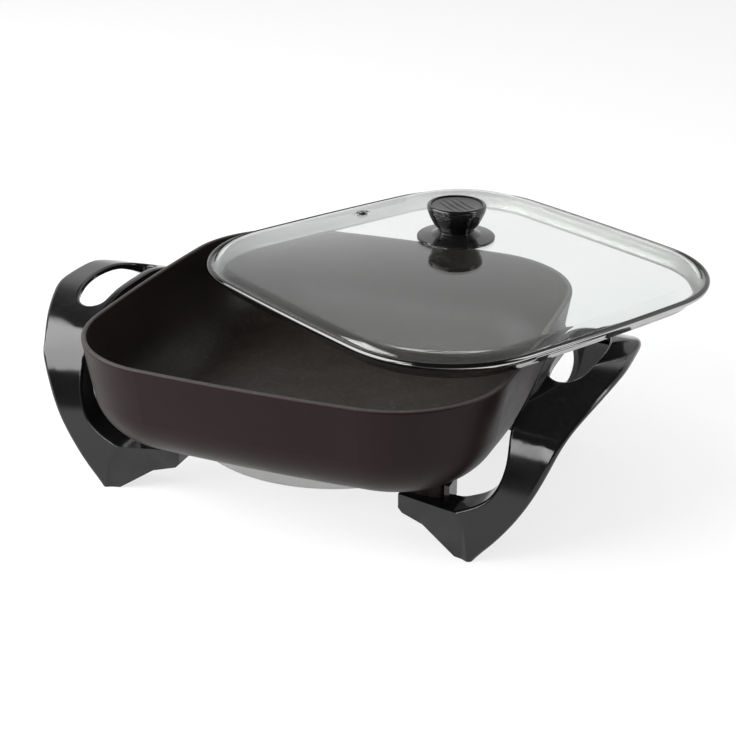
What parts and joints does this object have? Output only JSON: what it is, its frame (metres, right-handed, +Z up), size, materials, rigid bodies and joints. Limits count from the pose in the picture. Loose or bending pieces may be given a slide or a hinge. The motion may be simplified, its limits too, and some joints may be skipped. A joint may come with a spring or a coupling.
{
  "type": "electric skillet",
  "caption": "Countertop electric skillet: square deep pan on two arched handles with legs, round heater cover and a lift-off domed glass lid with a steel rim and knob.",
  "frame": {"origin": "on the worktop under the centre of the pan", "axes": "+X from handle to handle, away from the power inlet; +Y from the front to the back; +Z up"},
  "size_m": [0.4578, 0.4119, 0.1809],
  "materials": {
    "pan_coating": "cast aluminium under a dark brown satin non-stick coating",
    "cover_metal": "spun aluminium, brushed",
    "handle_plastic": "glossy black moulded phenolic",
    "guard_plastic": "matt black moulding",
    "sheath_metal": "bright drawn steel",
    "ceramic": "unglazed ceramic",
    "fastener_metal": "zinc-plated steel",
    "lid_steel": "polished stainless steel",
    "lid_glass": "clear tempered glass",
    "knob_gloss": "glossy black moulded phenolic",
    "knob_matte": "matt black with slanting ribs",
    "seal_rubber": "black silicone"
  },
  "bodies": {
    "base": {"pan_body": "pan_coating", "heater_cover": "cover_metal", "handle_left": "handle_plastic", "handle_right": "handle_plastic", "inlet_guard": "guard_plastic", "heating_element": "sheath_metal", "probe_tube": "sheath_metal", "terminal_pin_front": "sheath_metal", "terminal_pin_rear": "sheath_metal", "pin_insulator_front": "ceramic", "pin_insulator_rear": "ceramic", "handle_screw_front_right": "fastener_metal", "handle_screw_rear_right": "fastener_metal", "handle_screw_front_left": "fastener_metal", "handle_screw_rear_left": "fastener_metal", "handle_washer_front_right": "fastener_metal", "handle_washer_rear_right": "fastener_metal", "handle_washer_front_left": "fastener_metal", "handle_washer_rear_left": "fastener_metal", "cover_screw_1": "fastener_metal", "cover_screw_2": "fastener_metal", "cover_screw_3": "fastener_metal", "guard_screw_front": "fastener_metal", "guard_screw_rear": "fastener_metal"},
    "lid": {"lid_band": "lid_steel", "lid_glass": "lid_glass", "vent_eyelet": "lid_steel", "knob_base": "knob_gloss", "knob_grip": "knob_gloss", "knob_insert": "knob_matte", "knob_seal": "seal_rubber", "knob_washer": "seal_rubber", "knob_screw": "fastener_metal"}
  },
  "joints": [
    {"name": "lid_lift", "type": "slide", "parent": "base", "child": "lid", "axis": [0, 0, 1], "range_m": [0, 0.15]}
  ]
}
